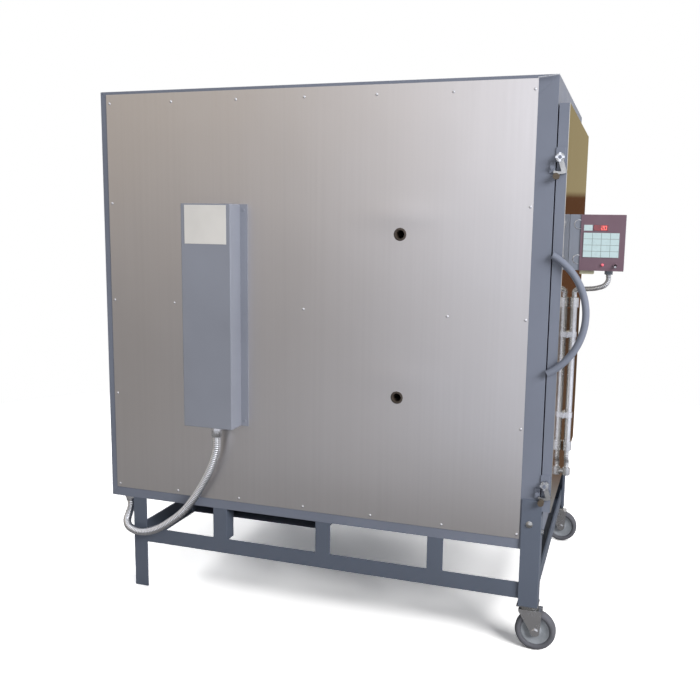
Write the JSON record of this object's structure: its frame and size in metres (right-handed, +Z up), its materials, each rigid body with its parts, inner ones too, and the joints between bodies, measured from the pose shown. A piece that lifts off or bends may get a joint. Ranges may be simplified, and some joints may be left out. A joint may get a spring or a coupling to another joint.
{
  "type": "front-loading electric kiln",
  "caption": "Front-loading electric kiln on a welded stand with casters: hinged brick-lined door with side latches, door controller and conduit-fed wiring box.",
  "frame": {"origin": "on the floor under the middle of the whole object, at the contact of the rear legs and casters", "axes": "+Z up; +Y from the door at the front to the rear; +X to the right of someone facing the door"},
  "size_m": [0.9378, 1.4668, 1.4876],
  "materials": {
    "grey_paint": "semi-gloss enamel on steel",
    "stainless": "brushed stainless sheet",
    "firebrick": "matt insulating firebrick",
    "white_ceramic": "matt fired ceramic",
    "element_wire": "oxidised resistance wire",
    "galvanized": "galvanized steel conduit",
    "zinc_plate": "zinc plated steel",
    "grey_rubber": "grey rubber",
    "ceramic_fibre": "ceramic fibre rope",
    "housing_grey": "grey painted steel box",
    "faceplate_maroon": "printed plate",
    "display_red": "red display window",
    "lamp_red": "red lens",
    "board_green": "circuit board",
    "black_plastic": "moulded plastic"
  },
  "bodies": {
    "cabinet": {"frame_post_front_left": "grey_paint", "frame_post_front_right": "grey_paint", "frame_post_rear_left": "grey_paint", "frame_post_rear_right": "grey_paint", "frame_ring_top": "grey_paint", "frame_ring_bottom": "grey_paint", "floor_deck": "grey_paint", "wiring_back_plate": "grey_paint", "wiring_cover": "grey_paint", "stand_side_left": "grey_paint", "stand_side_right": "grey_paint", "stand_rail_front": "grey_paint", "stand_rail_rear": "grey_paint", "front_leg_left": "grey_paint", "front_leg_right": "grey_paint", "hinge_lower": "grey_paint", "hinge_upper": "grey_paint", "side_panel_left": "stainless", "side_panel_right": "stainless", "rear_panel": "stainless", "top_panel": "stainless", "lining_wall_left": "firebrick", "lining_wall_right": "firebrick", "lining_wall_rear": "firebrick", "lining_roof": "firebrick", "lining_floor": "firebrick", "heating_element_low": "element_wire", "heating_element_middle": "element_wire", "heating_element_high": "element_wire", "terminal_strip": "white_ceramic", "thermocouple": "white_ceramic", "peephole_sleeve_low": "white_ceramic", "peephole_sleeve_high": "white_ceramic", "conduit_connector": "galvanized", "main_conduit": "galvanized", "caster_mount_left": "zinc_plate", "caster_mount_right": "zinc_plate"},
    "door": {"door_frame": "grey_paint", "door_skin": "stainless", "door_bricks": "firebrick", "door_seal": "ceramic_fibre", "door_handle": "grey_paint", "controller_housing": "housing_grey", "controller_faceplate": "faceplate_maroon", "display_window": "display_red", "pilot_lamp": "lamp_red", "controller_board": "board_green", "door_conduit_tube": "galvanized", "door_conduit_elbow": "galvanized", "door_flex_upper": "galvanized", "door_flex_lower": "galvanized"},
    "top_latch_lever": {"latch_lever_top": "zinc_plate"},
    "top_latch_knob": {"latch_knob_top": "zinc_plate"},
    "bottom_latch_lever": {"latch_lever_bottom": "zinc_plate"},
    "bottom_latch_knob": {"latch_knob_bottom": "zinc_plate"},
    "left_caster_fork": {"caster_fork_left": "zinc_plate"},
    "left_caster_wheel": {"caster_wheel_left": "grey_rubber"},
    "right_caster_fork": {"caster_fork_right": "zinc_plate"},
    "right_caster_wheel": {"caster_wheel_right": "grey_rubber"},
    "switch_lever": {"power_switch": "black_plastic"}
  },
  "joints": [
    {"name": "door_hinge", "type": "hinge", "parent": "cabinet", "child": "door", "pos_m": [0.4285, -0.57965, 0.9035], "axis": [0, 0, 1], "range_deg": [0, 120]},
    {"name": "bottom_latch_swing", "type": "hinge", "parent": "door", "child": "bottom_latch_lever", "pos_m": [-0.4103, -0.57465, 0.464], "axis": [-1, 0, 0], "range_deg": [-24, 95]},
    {"name": "bottom_latch_knob_turn", "type": "hinge", "parent": "door", "child": "bottom_latch_knob", "pos_m": [-0.4185, -0.57465, 0.464], "axis": [-1, 0, 0], "continuous": true},
    {"name": "top_latch_swing", "type": "hinge", "parent": "door", "child": "top_latch_lever", "pos_m": [-0.4103, -0.57465, 1.288], "axis": [-1, 0, 0], "range_deg": [-24, 95]},
    {"name": "top_latch_knob_turn", "type": "hinge", "parent": "door", "child": "top_latch_knob", "pos_m": [-0.4185, -0.57465, 1.288], "axis": [-1, 0, 0], "continuous": true},
    {"name": "left_caster_swivel", "type": "hinge", "parent": "cabinet", "child": "left_caster_fork", "pos_m": [-0.3789, -0.54315, 0.1108], "axis": [0, 0, 1], "continuous": true},
    {"name": "left_caster_roll", "type": "hinge", "parent": "left_caster_fork", "child": "left_caster_wheel", "pos_m": [-0.3789, -0.56515, 0.054], "axis": [1, 0, 0], "continuous": true},
    {"name": "right_caster_swivel", "type": "hinge", "parent": "cabinet", "child": "right_caster_fork", "pos_m": [0.4319, -0.54315, 0.1108], "axis": [0, 0, 1], "continuous": true},
    {"name": "right_caster_roll", "type": "hinge", "parent": "right_caster_fork", "child": "right_caster_wheel", "pos_m": [0.4319, -0.56515, 0.054], "axis": [1, 0, 0], "continuous": true},
    {"name": "power_switch_flip", "type": "hinge", "parent": "door", "child": "switch_lever", "pos_m": [-0.2299, -0.71285, 1.0215], "axis": [0, 1, 0], "range_deg": [0, 26]}
  ]
}
